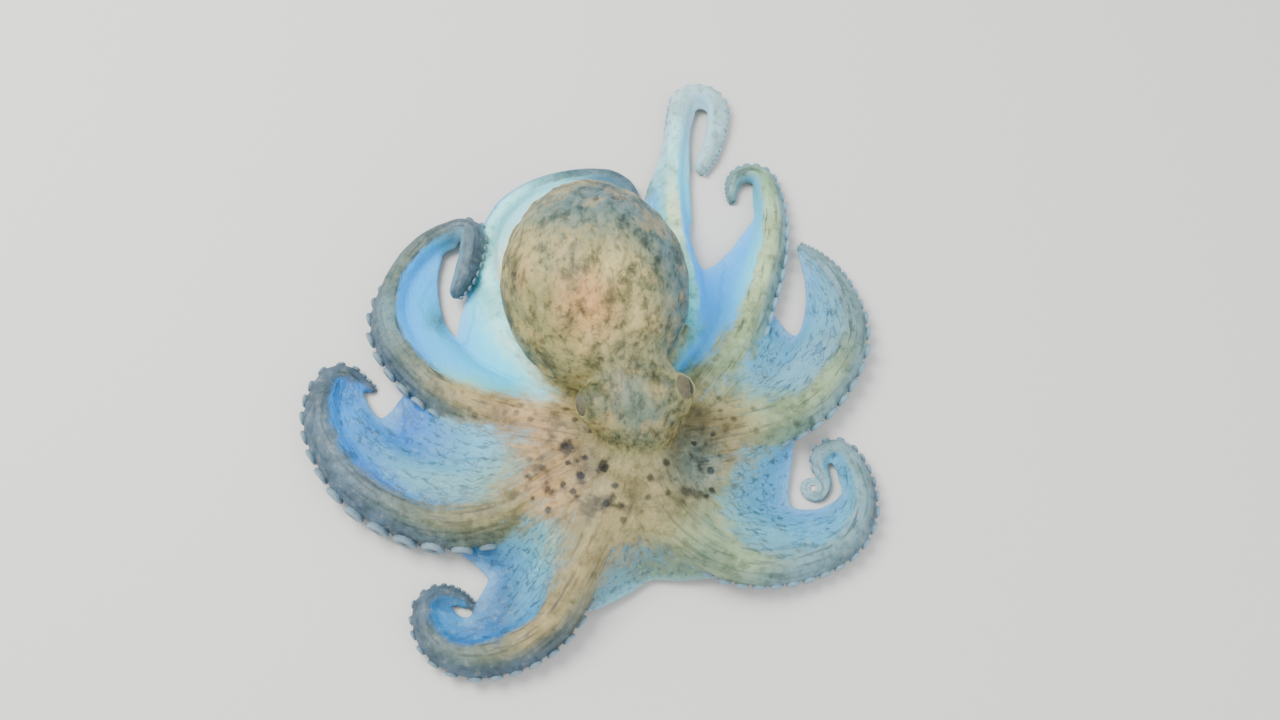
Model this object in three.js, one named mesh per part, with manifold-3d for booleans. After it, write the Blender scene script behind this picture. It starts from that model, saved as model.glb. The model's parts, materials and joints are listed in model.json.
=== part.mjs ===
// Common octopus settling on the floor with its webs spread: a still, life-size model.
// Millimetres, +Z up. It stands on z = 0, with the mantle towards +Y and the front arms towards -Y.
// Arms are numbered as zoologists do: 1 in front to 4 at the back, L and R for the animal's own sides.

import * as THREE from 'three';
import { LoftGeometry } from 'three/addons/geometries/LoftGeometry.js';
import { mergeVertices } from 'three/addons/utils/BufferGeometryUtils.js';
import Module from 'manifold-3d';

const { clamp, degToRad, lerp, smoothstep } = THREE.MathUtils;

// ---- Driving sizes ----

const gap = 0.3; // clear space between neighbouring pieces
const floorBlock = 900; // side of the block that trims the underside level
const facets = { mantle: 22, head: 15, eyeMound: 10, eye: 12, crown: 16, funnel: 14 }; // round each piece

const crown = { x: 28, y: -70.4, z: 32, radius: 29, halfHeight: 17 };
const head = { x: 27.5, y: -48, z: 48, halfWidth: 27, halfLength: 34, halfHeight: 25, yaw: 9 };
const mantle = {
  x: 4, y: 22.5, z: 52, halfWidth: 54.5, halfLength: 65.5, halfHeight: 48,
  yaw: 9, // its rear end points a little to the animal's right
  pitch: 3,
  sag: 0.8, // how deep the underside is, against the top
  point: 0.1, // how much the rear end narrows
};
const eye = { radius: 8.5, spread: 24.5, y: -52.5, z: 61.5 };
const eyeMound = { spread: 20.5, z: 57.5, halfWidth: 11, halfLength: 14, halfHeight: 12 };
const funnel = {
  x: 39.3, y: -21, z: 27, length: 34, rootRadius: 9.5, mouthRadius: 6.2, boreRadius: 4.2,
  boreDepth: 18, yaw: -38, pitch: 4,
};

const arm = {
  rootCircle: 28, // radius of the circle of arm roots round the mouth
  sides: 8,
  stride: 18.5, // most between two rings of facets
  turnPerRing: 34, // degrees
  suckerRidge: 1.36, // how far the sucker side stands out, in arm radii
  rest: 1.08, // height of the centreline where the arm lies on the floor, in arm radii
  landing: 105, // length over which an arm comes down from the crown
  rollStart: 20, // where it begins to roll its suckers outwards, and the length that takes
  rollLength: 75,
};

// Each arm runs out from the crown and follows arcs of [length, turn in degrees], turns to its left
// counting up. roll tips the sucker side from straight down towards the outside of the curl, and height
// is the root's. girth says how thick the arm is along the way: [distance from the root, radius, how far
// the arm lies outside its line].
const arms = {
  R1: {
    azimuth: 247.5, height: 31, roll: 48,
    run: [[62, -10], [57, -51], [40, -81], [22, -107], [21, -61]],
    girth: [
      [0, 11.5, 0], [40, 11.5, 0.5], [60, 11.5, 1.5], [80, 11.5, 4], [100, 10.5, 4.5], [120, 9.5, 4.5],
      [140, 8, 3], [160, 6.5, 0.5], [180, 4, -3], [202, 2, -3],
    ],
  },
  R2: {
    azimuth: 202.5, height: 29, roll: 56,
    run: [[37, 9], [51, -44], [90, -46], [36, -47], [19, -106], [16, 5]],
    girth: [
      [0, 11.5, 0], [60, 12, 1], [100, 12, 4], [140, 12, 4], [160, 10.5, 3], [180, 10, 1],
      [200, 9, -1], [220, 7, -1.5], [235, 4.5, -1.5], [249, 2, -1.5],
    ],
  },
  R3: {
    azimuth: 157.5, height: 26, roll: 56, tipLift: 7,
    run: [[28, 9], [110, -42], [92, -108], [19, -107], [41, -29]],
    girth: [
      [0, 11.5, 0], [60, 12, 3], [100, 11.5, 6], [120, 11.5, 6], [140, 11, 5], [160, 9.5, 0.5],
      [180, 8, -2], [200, 7.8, -2.3], [220, 7.6, -1], [240, 7.2, 0], [270, 6.8, 0], [285, 5, 0],
      [290, 3, 0],
    ],
  },
  R4: {
    azimuth: 112.5, height: 19, roll: 48,
    run: [[12, 39], [117, -44], [74, -77], [47, -32], [46, -116]],
    girth: [
      [0, 11.5, 0], [60, 10, 0], [100, 8, 0], [140, 6.5, -1.5], [180, 6.5, -0.5], [220, 5.5, -1],
      [260, 4.5, -1], [285, 3, -1], [296, 1.8, -1],
    ],
  },
  L4: {
    azimuth: 72, height: 19, roll: 45,
    run: [[44, -6], [62, 40], [123, -32], [35, -165], [49, -30]],
    girth: [
      [0, 11.5, 0], [60, 10.5, 0], [100, 9.5, 0], [140, 8, -2], [160, 7, -2.5], [180, 6.5, -3],
      [200, 6.5, -3], [220, 6.5, -1.5], [240, 7, 0], [260, 6.5, 0], [285, 5.5, 0], [305, 5, 0],
      [313, 3, 0],
    ],
  },
  L3: {
    azimuth: 42, height: 26, roll: -48,
    run: [[107, 32], [53, 8], [9, 11], [23, 11], [36, 150], [16, 30]],
    girth: [
      [0, 11.5, 0], [60, 11.5, -2], [80, 11, -3.5], [100, 10, -4], [120, 9.5, -3], [140, 9, -2.5],
      [160, 8, -3.5], [180, 7.5, -4], [200, 6.5, -4], [225, 4.5, -4], [244, 2, -4],
    ],
  },
  L2: {
    azimuth: 372, height: 29, roll: -52,
    run: [[31, 5], [89, 44], [35, 40], [56, 38]],
    girth: [
      [0, 11.5, 0], [60, 11, 2], [80, 10.5, 3], [100, 10.5, 1.5], [120, 10, 0], [140, 8.5, -1.5],
      [160, 7, -2], [180, 6, -2], [200, 4.5, -3], [211, 2.2, -3],
    ],
  },
  L1: {
    azimuth: 293, height: 31, roll: -52, tipRoll: 50,
    run: [[60, 57], [53, 38], [69, 96], [28, 187], [12, -60], [19, -149], [16, -162], [12, -172], [9, -180]],
    girth: [
      [0, 11.5, 0], [60, 10, 1], [100, 9, 0.5], [120, 8.5, 1.5], [140, 8, 1.5], [160, 7, 0],
      [180, 6, -0.5], [200, 4.5, -0.5], [213, 2.9, 0], [222, 2.0, 0], [241, 1.5, 0], [257, 1.1, 0],
      [269, 0.9, 0], [278, 0.7, 0],
    ],
  },
};
const lengths = { base: [0, 0.27], middle: [0.27, 0.52], outer: [0.52, 0.76], tip: [0.76, 1] };

// A web hangs between two neighbours as far as reach along each. Its free edge dips back to throat of that,
// most at deepest of the way across, and climbs out again to each arm the sooner the greater its steep is.
const webs = [
  { between: ['L1', 'R1'], reach: [73, 78], throat: 0.76, deepest: 0.48, steep: [2.1, 2.4] },
  { between: ['R1', 'R2'], reach: [118, 109], throat: 0.77, deepest: 0.56, steep: [3, 0.8] },
  { between: ['R2', 'R3'], reach: [234, 122], throat: 0.77, deepest: 0.45, steep: [5, 0.85] },
  { between: ['R3', 'R4'], reach: [216, 140], throat: 0.64, deepest: 0.5, steep: [5, 1.9] },
  { between: ['R4', 'L4'], reach: [110, 190], throat: 0.5, deepest: 0.5, steep: [1.4, 1.4] },
  { between: ['L4', 'L3'], reach: [147, 185], throat: 0.71, deepest: 0.24, steep: [1.9, 1.05] },
  { between: ['L3', 'L2'], reach: [130, 205], throat: 0.64, deepest: 0.5, steep: [0.8, 4.5] },
  { between: ['L2', 'L1'], reach: [81, 200], throat: 0.54, deepest: 0.57, steep: [0.8, 1.2] },
];
const web = {
  thickness: 3.2, edgeThickness: 1.8, edgeHeight: 4.5, bottom: 1.6, steps: 6, across: 7, start: 0.08,
};

const finish = {
  mantle: new THREE.MeshStandardMaterial({ color: 0xa08f72, roughness: 0.55 }),
  arm: new THREE.MeshStandardMaterial({ color: 0x9fa79f, roughness: 0.5 }),
  web: new THREE.MeshStandardMaterial({ color: 0x7fb2dc, roughness: 0.45 }),
  eye: new THREE.MeshStandardMaterial({ color: 0x8a6a3c, roughness: 0.15 }),
  funnel: new THREE.MeshStandardMaterial({ color: 0xb9bfb6, roughness: 0.5 }),
};

// ---- Arm paths ----

const runLength = (name) => arms[name].run.reduce((sum, [length]) => sum + length, 0);

// Every millimetre of an arm's centreline: plan position and heading.
function walk({ azimuth, run }) {
  let heading = degToRad(azimuth);
  let x = crown.x + arm.rootCircle * Math.cos(heading);
  let y = crown.y + arm.rootCircle * Math.sin(heading);
  const steps = [{ x, y, heading }];
  for (const [length, turn] of run) {
    const bend = degToRad(turn) / length;
    for (let mm = 0; mm < length; mm++) {
      x += Math.cos(heading + bend / 2);
      y += Math.sin(heading + bend / 2);
      heading += bend;
      steps.push({ x, y, heading });
    }
  }
  return steps;
}

const paths = Object.fromEntries(Object.entries(arms).map(([name, a]) => [name, walk(a)]));

// Radius and sideways shift at the distance s from an arm's root.
function girthAt(name, s) {
  const { girth } = arms[name];
  const after = girth.findIndex(([at]) => at > s);
  const i = after < 0 ? girth.length - 1 : Math.max(after, 1);
  const mix = clamp((s - girth[i - 1][0]) / (girth[i][0] - girth[i - 1][0]), 0, 1);
  return [1, 2].map((k) => lerp(girth[i - 1][k], girth[i][k], mix));
}

// Position, radius and side directions of an arm at the distance s from its root.
function armAt(name, s) {
  const a = arms[name];
  const total = runLength(name);
  const share = clamp(s / total, 0, 1);
  const path = paths[name];
  const low = clamp(Math.floor(s), 0, path.length - 2);
  const mix = clamp(s - low, 0, 1);
  const heading = lerp(path[low].heading, path[low + 1].heading, mix);
  const [radius, outside] = girthAt(name, s);
  const shift = outside * Math.sign(a.roll);
  const x = lerp(path[low].x, path[low + 1].x, mix) - shift * Math.sin(heading);
  const y = lerp(path[low].y, path[low + 1].y, mix) + shift * Math.cos(heading);
  const landed = smoothstep(s, 0, arm.landing);
  const lift = (a.tipLift ?? 0) * smoothstep(share, 0.78, 0.86);
  const z = lerp(a.height, radius * arm.rest, landed) + lift;
  const settled = lerp(a.roll, a.tipRoll ?? a.roll, smoothstep(share, 0.84, 0.93));
  const roll = degToRad(settled * smoothstep(s, arm.rollStart, arm.rollStart + arm.rollLength));
  return { x, y, z, heading, radius, roll };
}

// A point on the arm's skin: angle 0 faces the way the suckers do, 180 the back of the arm.
function armSkin(at, angle, radius) {
  const around = angle + at.roll;
  const side = radius * Math.sin(around);
  return new THREE.Vector3(
    at.x - side * Math.sin(at.heading),
    at.y + side * Math.cos(at.heading),
    at.z - radius * Math.cos(around),
  );
}

function armSection(name, s, grow) {
  const at = armAt(name, s);
  return Array.from({ length: arm.sides }, (_, i) => {
    const angle = (2 * Math.PI * (i + 0.5)) / arm.sides;
    const off = Math.min(angle, 2 * Math.PI - angle);
    const ridge = lerp(arm.suckerRidge, 1, smoothstep(off, degToRad(30), degToRad(75)));
    return armSkin(at, angle, at.radius * ridge + grow);
  });
}

// Ring positions: never further apart than the stride, and closer where the arm turns.
function ringsBetween(name, from, to) {
  const rings = [from];
  let last = from;
  let turned = 0;
  for (let s = from + 1; s < to - 2; s++) {
    turned += Math.abs(armAt(name, s).heading - armAt(name, s - 1).heading);
    if (s - last >= arm.stride || turned >= degToRad(arm.turnPerRing)) {
      rings.push(s);
      last = s;
      turned = 0;
    }
  }
  return [...rings, to];
}

function armLength(name, [start, end], grow) {
  const total = runLength(name);
  const rings = ringsBetween(name, start * total + gap / 2, end * total - gap / 2);
  rings[0] -= grow;
  rings[rings.length - 1] += grow;
  const sections = rings.map((s) => armSection(name, s, grow));
  return new LoftGeometry(sections, { closed: true, capStart: true, capEnd: true });
}

// ---- Webs ----

// A point on a web's middle surface: u runs out from the crown to the free edge, and v across
// from one arm to the other.
function webAt({ between: [a, b], reach, throat, deepest, steep }, u, v) {
  const aside = v < deepest ? (deepest - v) / deepest : (v - deepest) / (1 - deepest);
  const climb = (1 - (1 - aside) ** steep[v < deepest ? 0 : 1]) ** web.bottom;
  const out = u * lerp(throat, 1, climb);
  const one = armAt(a, out * reach[0]);
  const two = armAt(b, out * reach[1]);
  const floorward = smoothstep(u, 0.45, 1);
  const rise = (at) => at.z + at.radius * lerp(0.45, 0.1, u);
  const span = lerp(rise(one), rise(two), v);
  const slack = 4 * v * (1 - v);
  return new THREE.Vector3(
    lerp(one.x, two.x, v),
    lerp(one.y, two.y, v),
    lerp(span, Math.min(span, web.edgeHeight), floorward * slack ** 0.5),
  );
}

function webSheet(spec, grow) {
  const box = new THREE.BoxGeometry(1, 1, 1, web.across, web.steps, 1);
  const place = box.getAttribute('position');
  for (let i = 0; i < place.count; i++) {
    const u = lerp(web.start, 1, place.getY(i) + 0.5);
    const half = lerp(web.thickness, web.edgeThickness, u) / 2 + grow;
    const p = webAt(spec, u, place.getX(i) + 0.5);
    place.setXYZ(i, p.x, p.y, p.z + Math.sign(place.getZ(i)) * half);
  }
  return box;
}

// ---- Body ----

// An egg: sag flattens its underside, and point narrows its rear end.
function egg(size, segments, grow) {
  const { x, y, z, halfWidth, halfLength, halfHeight, yaw, pitch = 0, sag = 1, point = 0 } = size;
  const ball = new THREE.SphereGeometry(1, segments, Math.round(segments * 0.6)).rotateX(-Math.PI / 2);
  const place = ball.getAttribute('position');
  for (let i = 0; i < place.count; i++) {
    const along = place.getY(i);
    const slim = 1 - point * Math.max(along, 0) ** 2;
    const up = place.getZ(i);
    const depth = up < 0 ? sag : 1;
    place.setXYZ(
      i,
      place.getX(i) * (halfWidth * slim + grow),
      along * (halfLength + grow),
      up * (halfHeight * slim * depth + grow),
    );
  }
  return ball.rotateX(degToRad(pitch)).rotateZ(degToRad(yaw)).translate(x, y, z);
}

// Where the animal's left (+1) or right (-1) eye is: the pair turns with the head.
function besideHead(side, spread, z) {
  const yaw = degToRad(head.yaw);
  return [head.x + side * spread * Math.cos(yaw), eye.y + side * spread * Math.sin(yaw), z];
}

function eyeball(side, grow) {
  const ball = new THREE.SphereGeometry(eye.radius + grow, facets.eye, facets.eye - 4);
  return ball.translate(...besideHead(side, eye.spread, eye.z));
}

function eyeMoundAt(side, grow) {
  const [x, y, z] = besideHead(side, eyeMound.spread, eyeMound.z);
  return egg({ ...eyeMound, x, y, z, yaw: head.yaw }, facets.eyeMound, grow);
}

const crownDome = (grow) =>
  new THREE.SphereGeometry(1, facets.crown, facets.crown / 2)
    .rotateX(Math.PI / 2)
    .scale(crown.radius + grow, crown.radius + grow, crown.halfHeight + grow)
    .translate(crown.x, crown.y, crown.z);

function funnelTube(grow) {
  const { length, rootRadius, mouthRadius, boreRadius, boreDepth } = funnel;
  const outside = [[0, 0], [rootRadius + grow, 0], [mouthRadius + grow, length + grow]];
  const bottom = length - boreDepth;
  const bore = [[boreRadius, length], [boreRadius * 0.6, bottom], [0, bottom]];
  const inside = grow ? [[0, length + grow]] : bore;
  const profile = [...outside, ...inside].map(([r, h]) => new THREE.Vector2(r, h));
  return new THREE.LatheGeometry(profile, facets.funnel)
    .rotateX(degToRad(funnel.pitch))
    .rotateZ(degToRad(funnel.yaw))
    .translate(funnel.x, funnel.y, funnel.z);
}

// ---- Parting: every piece is cut back from its neighbours by the gap ----

const wasm = await Module();
wasm.setup();

function solid(geometry) {
  const bare = new THREE.BufferGeometry();
  bare.setAttribute('position', geometry.getAttribute('position'));
  bare.setIndex(geometry.index);
  const merged = mergeVertices(bare, 1e-4);
  const { array } = merged.index;
  const kept = [];
  for (let i = 0; i < array.length; i += 3) {
    const [a, b, c] = array.slice(i, i + 3);
    if (a !== b && b !== c && a !== c) kept.push(a, b, c);
  }
  return new wasm.Manifold(
    new wasm.Mesh({
      numProp: 3,
      vertProperties: merged.getAttribute('position').array,
      triVerts: new Uint32Array(kept),
    }),
  );
}

const largest = (manifold) => manifold.decompose().reduce((a, b) => (b.volume() > a.volume() ? b : a));
const floorBox = new THREE.BoxGeometry(floorBlock, floorBlock, floorBlock).translate(0, 0, -floorBlock / 2);
const floor = solid(floorBox);
const placed = [];

// Pieces placed first keep their whole shape. The lengths of one arm share a kin, and part at plain cuts.
function place(name, material, make, kin = name) {
  const whole = (grow) => [make(grow)].flat().map(solid).reduce((joined, other) => joined.add(other));
  const cutters = placed.filter((other) => other.kin !== kin).map((other) => other.room);
  const manifold = largest([floor, ...cutters].reduce((left, cutter) => left.subtract(cutter), whole(0)));
  placed.push({ name, kin, material, manifold, room: whole(gap) });
}

place('eye_left', finish.eye, (grow) => eyeball(1, grow));
place('eye_right', finish.eye, (grow) => eyeball(-1, grow));
place('mantle', finish.mantle, (grow) => egg(mantle, facets.mantle, grow));
place('head', finish.mantle, (grow) => [
  egg(head, facets.head, grow),
  eyeMoundAt(1, grow),
  eyeMoundAt(-1, grow),
]);
place('arm_crown', finish.mantle, crownDome);
place('funnel', finish.funnel, funnelTube);
for (const name of Object.keys(arms)) {
  for (const [part, span] of Object.entries(lengths)) {
    place(`arm_${name}_${part}`, finish.arm, (grow) => armLength(name, span, grow), name);
  }
}
for (const spec of webs) {
  place(`web_${spec.between.join('_')}`, finish.web, (grow) => webSheet(spec, grow));
}

// ---- Scene graph ----

const octopus = new THREE.Group();
for (const { name, manifold, material } of placed) {
  const { vertProperties, triVerts } = manifold.getMesh();
  const geometry = new THREE.BufferGeometry();
  geometry.setAttribute('position', new THREE.BufferAttribute(vertProperties, 3));
  geometry.setIndex(new THREE.BufferAttribute(triVerts, 1));
  geometry.computeVertexNormals();
  const mesh = new THREE.Mesh(geometry, material);
  mesh.name = name;
  octopus.add(mesh);
}

export default octopus;
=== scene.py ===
import json
import math

import bpy
import numpy as np
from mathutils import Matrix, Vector, noise
from mathutils.kdtree import KDTree

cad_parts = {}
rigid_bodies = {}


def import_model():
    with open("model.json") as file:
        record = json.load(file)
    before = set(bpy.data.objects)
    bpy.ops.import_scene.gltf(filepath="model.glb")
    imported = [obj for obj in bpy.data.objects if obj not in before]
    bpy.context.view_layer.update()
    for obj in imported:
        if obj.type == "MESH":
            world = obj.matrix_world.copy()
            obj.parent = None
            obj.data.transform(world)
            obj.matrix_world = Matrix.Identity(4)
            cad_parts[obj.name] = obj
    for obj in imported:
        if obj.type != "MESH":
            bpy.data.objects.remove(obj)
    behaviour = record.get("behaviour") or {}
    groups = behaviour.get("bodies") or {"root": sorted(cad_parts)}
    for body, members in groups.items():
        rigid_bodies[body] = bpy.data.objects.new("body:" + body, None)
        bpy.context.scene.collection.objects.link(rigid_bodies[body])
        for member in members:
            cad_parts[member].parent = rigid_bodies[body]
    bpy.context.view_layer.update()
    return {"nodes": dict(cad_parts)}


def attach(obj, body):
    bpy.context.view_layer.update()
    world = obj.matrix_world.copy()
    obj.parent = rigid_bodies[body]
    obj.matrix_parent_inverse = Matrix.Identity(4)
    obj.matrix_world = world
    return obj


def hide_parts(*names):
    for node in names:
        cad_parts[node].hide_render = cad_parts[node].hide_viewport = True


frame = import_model()

mm = 0.001  # the dictionaries hold millimetres and degrees, meshes are in metres

# everything soft becomes one skin, so these say how the lumps are fused
fusing = {"voxel": 1.05, "triangles": 190000, "creasePasses": 46, "seams": 0.9, "elsewhere": 0.12}

armSizes = {"rootCircle": 28, "inset": 22, "suckerRidge": 0.2, "rest": 1.08, "landing": 105,
            "rollStart": 20, "rollLength": 75, "around": 24, "ringSpacing": 2.2, "even": 8,
            "hemThickness": 2.2, "hemFloor": 1.3, "ripple": 0.5, "rippleLength": 4.6}

# run: [length, turn] from the crown out, left turns positive. girth: distance, radius and shift to the
# outer side. cups: distance and sucker radius. inner and outer: distance and width of the skin hem.
arms = {
    "R1": {"azimuth": 247.5, "height": 31, "roll": 48,
           "run": [(62, -10), (57, -51), (40, -81), (22, -107), (21, -61)],
           "girth": [(0, 11.5, 0), (40, 11.5, 0.5), (60, 11.5, 1.5), (80, 11.5, 4), (100, 10.5, 4.5),
                     (120, 9.5, 4.5), (140, 8, 3), (160, 6.5, 0.5), (180, 4, -3), (202, 2, -3)],
           "cups": [(0, 3.6), (60, 4.5), (120, 4.3), (150, 3.2), (180, 1.9), (202, 0.8)],
           "inner": [(88, 0), (100, 6), (113, 14), (130, 14), (150, 10), (165, 8), (180, 4), (196, 0.5)]},
    "R2": {"azimuth": 202.5, "height": 29, "roll": 56,
           "run": [(37, 9), (51, -44), (90, -46), (36, -47), (19, -106), (16, 5)],
           "girth": [(0, 11.5, 0), (60, 12, 1), (100, 12, 4), (140, 12, 4), (160, 10.5, 3), (180, 10, 1),
                     (200, 9, -1), (220, 7, -1.5), (235, 4.5, -1.5), (249, 2, -1.5)],
           "cups": [(0, 4.2), (60, 5.6), (95, 7.4), (120, 7.2), (140, 6.8), (160, 6), (180, 5), (200, 4.2),
                    (220, 3.4), (240, 2.2), (249, 0.9)],
           "inner": [(170, 0), (185, 3), (200, 4), (215, 3), (232, 0.5)]},
    "R3": {"azimuth": 157.5, "height": 26, "roll": 56, "tipLift": 7,
           "run": [(28, 9), (110, -42), (92, -108), (19, -107), (41, -29)],
           "girth": [(0, 11.5, 0), (60, 12, 3), (100, 11.5, 6), (120, 11.5, 6), (140, 11, 5),
                     (160, 9.5, 0.5), (180, 8, -2), (200, 7.8, -2.3), (220, 7.6, -1), (240, 7.2, 0),
                     (270, 6.8, 0), (285, 5, 0), (290, 3, 0)],
           "cups": [(0, 4), (60, 4.8), (100, 5.8), (145, 5.4), (170, 4), (220, 3.2), (250, 2.9), (275, 2.3),
                    (290, 1.1)],
           "facing": [(0, 56), (150, 56), (176, 18), (226, 18), (246, 60), (290, 60)],
           "inner": [(186, 0), (200, 3), (225, 3.5), (240, 0.5)]},
    "R4": {"azimuth": 112.5, "height": 19, "roll": 48,
           "run": [(12, 39), (117, -44), (74, -77), (47, -32), (46, -116)],
           "girth": [(0, 11.5, 0), (60, 10, 0), (100, 8, 0), (140, 6.5, -1.5), (180, 6.5, -0.5),
                     (220, 5.5, -1), (260, 4.5, -1), (285, 3, -1), (296, 1.8, -1)],
           "cups": [(0, 3.6), (60, 3.2), (120, 2.8), (200, 2.4), (260, 1.6), (296, 0.6)],
           "facing": [(0, 48), (40, 44), (70, 22), (296, 20)],
           "inner": [(20, 0), (45, 14), (100, 17), (160, 17), (205, 16), (240, 11), (268, 0.5)]},
    "L4": {"azimuth": 72, "height": 19, "roll": 45,
           "run": [(44, -6), (62, 40), (123, -32), (35, -165), (49, -30)],
           "girth": [(0, 11.5, 0), (60, 10.5, 0), (100, 9.5, 0), (140, 8, -2), (160, 7, -2.5),
                     (180, 6.5, -3), (200, 6.5, -3), (220, 6.5, -1.5), (240, 7, 0), (260, 6.5, 0),
                     (285, 5.5, 0), (305, 5, 0), (313, 3, 0)],
           "cups": [(0, 3.6), (60, 3.2), (120, 2.7), (200, 2.5), (270, 2.1), (300, 1.5), (313, 0.8)],
           "facing": [(0, 20), (185, 12), (225, 46), (313, 46)],
           "inner": [(125, 0), (140, 3), (160, 4.5), (180, 4.5), (200, 2.5), (220, 2), (240, 4),
                     (262, 0.5)],
           "outer": [(100, 0), (120, 8), (140, 10), (160, 11), (180, 4.5), (200, 2), (212, 0.5)]},
    "L3": {"azimuth": 42, "height": 26, "roll": -48,
           "run": [(107, 32), (53, 8), (9, 11), (23, 11), (36, 150), (16, 30)],
           "girth": [(0, 11.5, 0), (60, 11.5, -2), (80, 11, -3.5), (100, 10, -4), (120, 9.5, -3),
                     (140, 9, -2.5), (160, 8, -3.5), (180, 7.5, -4), (200, 6.5, -4), (225, 4.5, -4),
                     (244, 2, -4)],
           "cups": [(0, 4), (60, 5), (140, 5), (180, 3.6), (220, 2), (244, 0.8)],
           "inner": [(108, 0), (125, 3), (170, 3), (190, 0.5)]},
    "L2": {"azimuth": 372, "height": 29, "roll": -52,
           "run": [(31, 5), (89, 44), (35, 40), (56, 38)],
           "girth": [(0, 11.5, 0), (60, 11, 2), (80, 10.5, 3), (100, 10.5, 1.5), (120, 10, 0),
                     (140, 8.5, -1.5), (160, 7, -2), (180, 6, -2), (200, 4.5, -3), (211, 2.2, -3)],
           "cups": [(0, 4), (50, 5), (120, 5.3), (150, 4), (180, 2.6), (211, 0.9)]},
    "L1": {"azimuth": 293, "height": 31, "roll": -52, "tipRoll": 50,
           "run": [(60, 57), (53, 38), (69, 96), (28, 187), (12, -60), (19, -149), (16, -162), (12, -172),
                   (9, -180), (6, -190)],
           "girth": [(0, 11.5, 0), (60, 10, 1), (100, 9, 0.5), (120, 8.5, 1.5), (140, 8, 1.5), (160, 7, 0),
                     (180, 6, -0.5), (200, 4.5, -0.5), (213, 2.9, 0), (222, 2, 0), (241, 1.5, 0),
                     (257, 1.1, 0), (269, 0.9, 0), (278, 0.8, 0), (284, 0.6, 0)],
           "cups": [(0, 3.8), (60, 4.2), (140, 4), (170, 3.2), (200, 2.2), (222, 1.2), (245, 0.7),
                    (278, 0.4)],
           "inner": [(125, 0), (140, 3.5), (180, 3.5), (200, 2), (212, 0.3)]},
}

# webs between neighbours: how far along each arm, how far back the free edge dips, and how
# steeply it climbs out again to each arm
webs = [
    {"between": ("L1", "R1"), "reach": (73, 78), "throat": 0.76, "deepest": 0.48, "steep": (2.1, 2.4)},
    {"between": ("R1", "R2"), "reach": (118, 109), "throat": 0.77, "deepest": 0.56, "steep": (3, 0.8)},
    {"between": ("R2", "R3"), "reach": (234, 122), "throat": 0.77, "deepest": 0.45, "steep": (5, 0.85)},
    {"between": ("R3", "R4"), "reach": (216, 140), "throat": 0.64, "deepest": 0.5, "steep": (5, 1.9)},
    {"between": ("R4", "L4"), "reach": (110, 190), "throat": 0.5, "deepest": 0.5, "steep": (1.4, 1.4)},
    {"between": ("L4", "L3"), "reach": (147, 185), "throat": 0.71, "deepest": 0.24, "steep": (1.9, 1.05)},
    {"between": ("L3", "L2"), "reach": (130, 205), "throat": 0.64, "deepest": 0.5, "steep": (0.8, 4.5)},
    {"between": ("L2", "L1"), "reach": (81, 200), "throat": 0.54, "deepest": 0.57, "steep": (0.8, 1.2)},
]
webSizes = {"thickness": 2.7, "edgeHeight": 4.5, "across": 44, "outward": 44, "bottom": 1.6,
            "rootLift": 0.85, "edgeLift": 0.45}

brow = {"x": 27.5, "y": -75, "z": 35, "halfWidth": 25, "halfLength": 27, "halfHeight": 15.5, "yaw": 9}
crown = {"x": 28, "y": -70.4, "z": 32, "radius": 29, "halfHeight": 17}
head = {"x": 27.5, "y": -48, "z": 48, "halfWidth": 27, "halfLength": 34, "halfHeight": 25, "yaw": 9}
mantle = {"x": 4, "y": 22.5, "z": 52, "halfWidth": 54.5, "halfLength": 65.5, "halfHeight": 48, "yaw": 9,
          "pitch": 3, "sag": 0.8, "point": 0.1}
neck = {"x": 22, "y": -27, "z": 50, "halfWidth": 25, "halfLength": 26, "halfHeight": 25, "yaw": 9}
eye = {"radius": 8.5, "length": 9.4, "spread": 24.5, "y": -52.5, "z": 61.5, "lookUp": {1: 57, -1: 26},
       "lidLength": 8.2, "lidHeight": 6.4, "lidThickness": 1.4, "lidBend": 0.02, "clearance": 1.4,
       "socketMargin": 0.9, "socketReach": 14}
eyeMound = {"spread": 20.8, "z": 58, "halfWidth": 11.4, "halfLength": 14.3, "halfHeight": 12.8}
funnel = {"x": 39.3, "y": -21, "z": 27, "length": 34, "rootRadius": 9.5, "mouthRadius": 6.2,
          "boreRadius": 4.2, "boreDepth": 18, "yaw": -38}


def readCo(piece):
    co = np.empty(len(piece.data.vertices) * 3)
    piece.data.vertices.foreach_get("co", co)
    return co.reshape(-1, 3)


def writeCo(piece, co):
    piece.data.vertices.foreach_set("co", np.ascontiguousarray(co, dtype=np.float64).ravel())
    piece.data.update()


def readNormals(piece):
    normals = np.empty(len(piece.data.vertices) * 3)
    piece.data.vertex_normals.foreach_get("vector", normals)
    return normals.reshape(-1, 3)


def pick(*pieces):
    bpy.ops.object.select_all(action="DESELECT")
    for piece in pieces:
        piece.select_set(True)
    bpy.context.view_layer.objects.active = pieces[0]


def applyModifier(piece, kind, **settings):
    pick(piece)
    modifier = piece.modifiers.new(kind.title(), kind)
    for key, value in settings.items():
        setattr(modifier, key, value)
    bpy.ops.object.modifier_apply(modifier=modifier.name)


def editTop(piece):
    # edit mode, with only the faces that look up chosen
    bpy.ops.object.mode_set(mode="EDIT")
    bpy.ops.mesh.select_mode(type="FACE")
    bpy.ops.mesh.select_all(action="DESELECT")
    bpy.ops.object.mode_set(mode="OBJECT")
    for face in piece.data.polygons:
        face.select = face.normal.z > 0.9
    bpy.ops.object.mode_set(mode="EDIT")


def ease(x, low, high):
    t = np.clip((x - low) / (high - low), 0, 1)
    return t * t * (3 - 2 * t)


def blendTo(a, b, t):
    return a + (b - a) * t


def readTable(table, at, column=1):
    table = np.array(table, dtype=float)
    return np.interp(at, table[:, 0], table[:, column])


# ---- arms

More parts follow.
